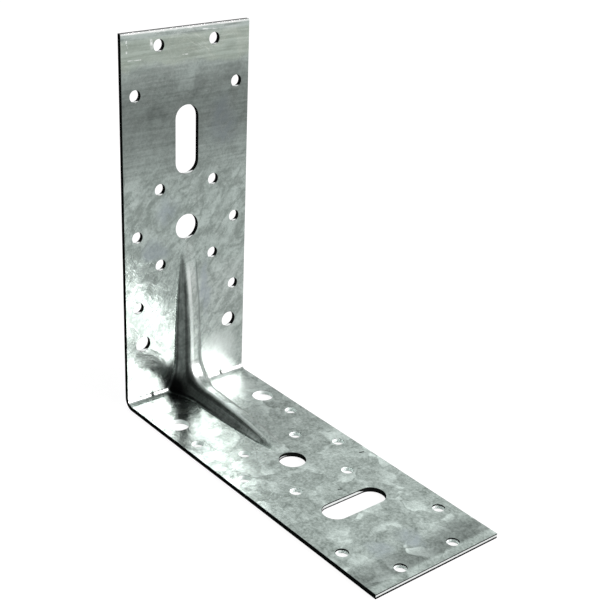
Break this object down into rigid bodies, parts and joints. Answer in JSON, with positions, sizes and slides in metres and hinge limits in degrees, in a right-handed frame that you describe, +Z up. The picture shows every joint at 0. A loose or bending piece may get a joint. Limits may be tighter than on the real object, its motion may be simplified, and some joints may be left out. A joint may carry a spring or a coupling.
{
  "type": "corner brace bracket",
  "caption": "Folded sheet-metal corner brace with a rib pressed through its bend, punched for nails, screws and bolts, that fastens timbers at a right angle.",
  "frame": {"origin": "outer corner of the fold, where the planes of the foot's underside and the upright's back meet, in the middle of the strip's width", "axes": "+X along the foot, away from the upright; +Z up the upright; Y across the strip, which is the same on both sides of Y = 0"},
  "size_m": [0.16, 0.06, 0.16],
  "materials": {
    "galvanised_sheet": "hot-dip galvanised, semi-gloss with faint spangle"
  },
  "bodies": {
    "root": {"bracket": "galvanised_sheet"}
  },
  "joints": []
}
